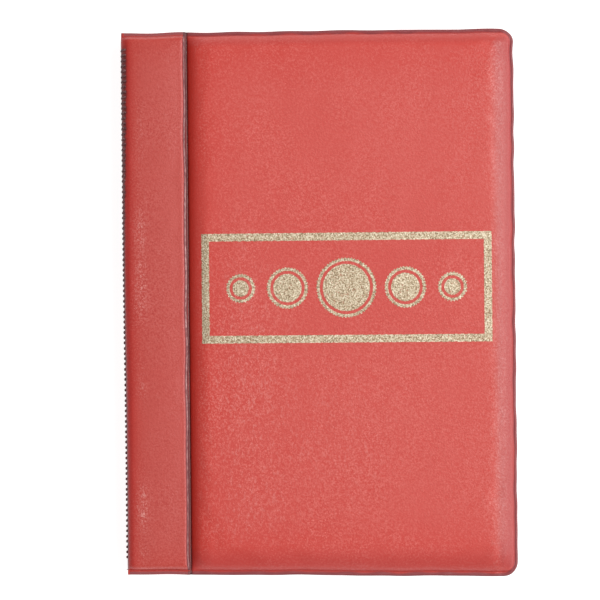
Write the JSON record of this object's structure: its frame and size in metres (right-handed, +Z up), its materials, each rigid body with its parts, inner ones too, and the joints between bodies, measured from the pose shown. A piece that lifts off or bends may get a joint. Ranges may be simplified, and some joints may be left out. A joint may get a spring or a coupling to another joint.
{
  "type": "coin album",
  "caption": "Padded vinyl coin album bound at the left edge under a stitched binding strip, with clear pocket leaves and a hinged front cover stamped in gold foil.",
  "frame": {"origin": "centre of the closed album's box, on the outer face of the back cover that it rests on", "axes": "+Z up out of the front cover, +Y towards the head of the album, -X towards the spine"},
  "size_m": [0.144, 0.2, 0.0181],
  "materials": {
    "red_vinyl": "padded coral-red vinyl with a fine pebble grain and a satin sheen",
    "lining_vinyl": "smooth matt red vinyl lining with a welded edge",
    "foam": "soft off-white foam padding",
    "grey_board": "grey pressed card board",
    "gold_foil": "pale champagne-gold hot-stamped foil with a fine speckle",
    "thread": "dark maroon twisted thread",
    "clear_film": "soft clear vinyl film, glossy with slight waves",
    "divider_vinyl": "dark maroon vinyl sheet with a fine matt grain"
  },
  "bodies": {
    "root": {"back_cover_board": "grey_board", "back_cover_foam": "foam", "back_cover_lining": "lining_vinyl", "back_cover_skin": "red_vinyl", "back_strip_board": "grey_board", "binding_spacers": "grey_board", "binding_strip_board": "grey_board", "binding_strip_foam": "foam", "binding_strip_skin": "red_vinyl", "front_cover_tab": "red_vinyl", "page_01_margin": "divider_vinyl", "page_02_margin": "divider_vinyl", "page_03_margin": "divider_vinyl", "page_04_margin": "divider_vinyl", "page_05_margin": "divider_vinyl", "page_06_margin": "divider_vinyl", "page_07_margin": "divider_vinyl", "page_08_margin": "divider_vinyl", "page_09_margin": "divider_vinyl", "page_10_margin": "divider_vinyl", "spine_stitching": "thread", "spine_tape": "red_vinyl"},
    "front_cover": {"front_cover_skin": "red_vinyl", "front_cover_foam": "foam", "front_cover_board": "grey_board", "front_cover_lining": "lining_vinyl", "front_foil_stamp": "gold_foil"},
    "page_01": {"page_01_back_film": "clear_film", "page_01_divider": "divider_vinyl", "page_01_front_film": "clear_film"},
    "page_02": {"page_02_back_film": "clear_film", "page_02_divider": "divider_vinyl", "page_02_front_film": "clear_film"},
    "page_03": {"page_03_back_film": "clear_film", "page_03_divider": "divider_vinyl", "page_03_front_film": "clear_film"},
    "page_04": {"page_04_back_film": "clear_film", "page_04_divider": "divider_vinyl", "page_04_front_film": "clear_film"},
    "page_05": {"page_05_back_film": "clear_film", "page_05_divider": "divider_vinyl", "page_05_front_film": "clear_film"},
    "page_06": {"page_06_back_film": "clear_film", "page_06_divider": "divider_vinyl", "page_06_front_film": "clear_film"},
    "page_07": {"page_07_back_film": "clear_film", "page_07_divider": "divider_vinyl", "page_07_front_film": "clear_film"},
    "page_08": {"page_08_back_film": "clear_film", "page_08_divider": "divider_vinyl", "page_08_front_film": "clear_film"},
    "page_09": {"page_09_back_film": "clear_film", "page_09_divider": "divider_vinyl", "page_09_front_film": "clear_film"},
    "page_10": {"page_10_back_film": "clear_film", "page_10_divider": "divider_vinyl", "page_10_front_film": "clear_film"}
  },
  "joints": [
    {"name": "front_cover_hinge", "type": "hinge", "parent": "root", "child": "front_cover", "pos_m": [-0.046, 0, 0.0182], "axis": [0, -1, 0], "range_deg": [0, 180]},
    {"name": "page_01_turn", "type": "hinge", "parent": "root", "child": "page_01", "pos_m": [-0.04569, 0, 0.01759], "axis": [0, -1, 0], "range_deg": [0, 150], "deforming": ["page_01_margin"]},
    {"name": "page_02_turn", "type": "hinge", "parent": "root", "child": "page_02", "pos_m": [-0.04541, 0, 0.0175], "axis": [0, -1, 0], "range_deg": [0, 144], "deforming": ["page_02_margin"]},
    {"name": "page_03_turn", "type": "hinge", "parent": "root", "child": "page_03", "pos_m": [-0.04515, 0, 0.01741], "axis": [0, -1, 0], "range_deg": [0, 138], "deforming": ["page_03_margin"]},
    {"name": "page_04_turn", "type": "hinge", "parent": "root", "child": "page_04", "pos_m": [-0.04488, 0, 0.01732], "axis": [0, -1, 0], "range_deg": [0, 132], "deforming": ["page_04_margin"]},
    {"name": "page_05_turn", "type": "hinge", "parent": "root", "child": "page_05", "pos_m": [-0.0446, 0, 0.01723], "axis": [0, -1, 0], "range_deg": [0, 126], "deforming": ["page_05_margin"]},
    {"name": "page_06_turn", "type": "hinge", "parent": "root", "child": "page_06", "pos_m": [-0.045, 0, 0.00795], "axis": [0, -1, 0], "range_deg": [0, 14], "deforming": ["page_06_margin"]},
    {"name": "page_07_turn", "type": "hinge", "parent": "root", "child": "page_07", "pos_m": [-0.045, 0, 0.00705], "axis": [0, -1, 0], "range_deg": [0, 11], "deforming": ["page_07_margin"]},
    {"name": "page_08_turn", "type": "hinge", "parent": "root", "child": "page_08", "pos_m": [-0.045, 0, 0.00615], "axis": [0, -1, 0], "range_deg": [0, 8], "deforming": ["page_08_margin"]},
    {"name": "page_09_turn", "type": "hinge", "parent": "root", "child": "page_09", "pos_m": [-0.045, 0, 0.00525], "axis": [0, -1, 0], "range_deg": [0, 5.5], "deforming": ["page_09_margin"]},
    {"name": "page_10_turn", "type": "hinge", "parent": "root", "child": "page_10", "pos_m": [-0.045, 0, 0.00435], "axis": [0, -1, 0], "range_deg": [0, 3], "deforming": ["page_10_margin"]}
  ],
  "couplings": [
    {"joint": "page_01_turn", "follows": "front_cover_hinge", "ratio": 0.8333},
    {"joint": "page_02_turn", "follows": "front_cover_hinge", "ratio": 0.8},
    {"joint": "page_03_turn", "follows": "front_cover_hinge", "ratio": 0.7666},
    {"joint": "page_04_turn", "follows": "front_cover_hinge", "ratio": 0.7333},
    {"joint": "page_05_turn", "follows": "front_cover_hinge", "ratio": 0.6999},
    {"joint": "page_06_turn", "follows": "front_cover_hinge", "ratio": 0.0777},
    {"joint": "page_07_turn", "follows": "front_cover_hinge", "ratio": 0.0611},
    {"joint": "page_08_turn", "follows": "front_cover_hinge", "ratio": 0.0444},
    {"joint": "page_09_turn", "follows": "front_cover_hinge", "ratio": 0.0305},
    {"joint": "page_10_turn", "follows": "front_cover_hinge", "ratio": 0.0166}
  ]
}
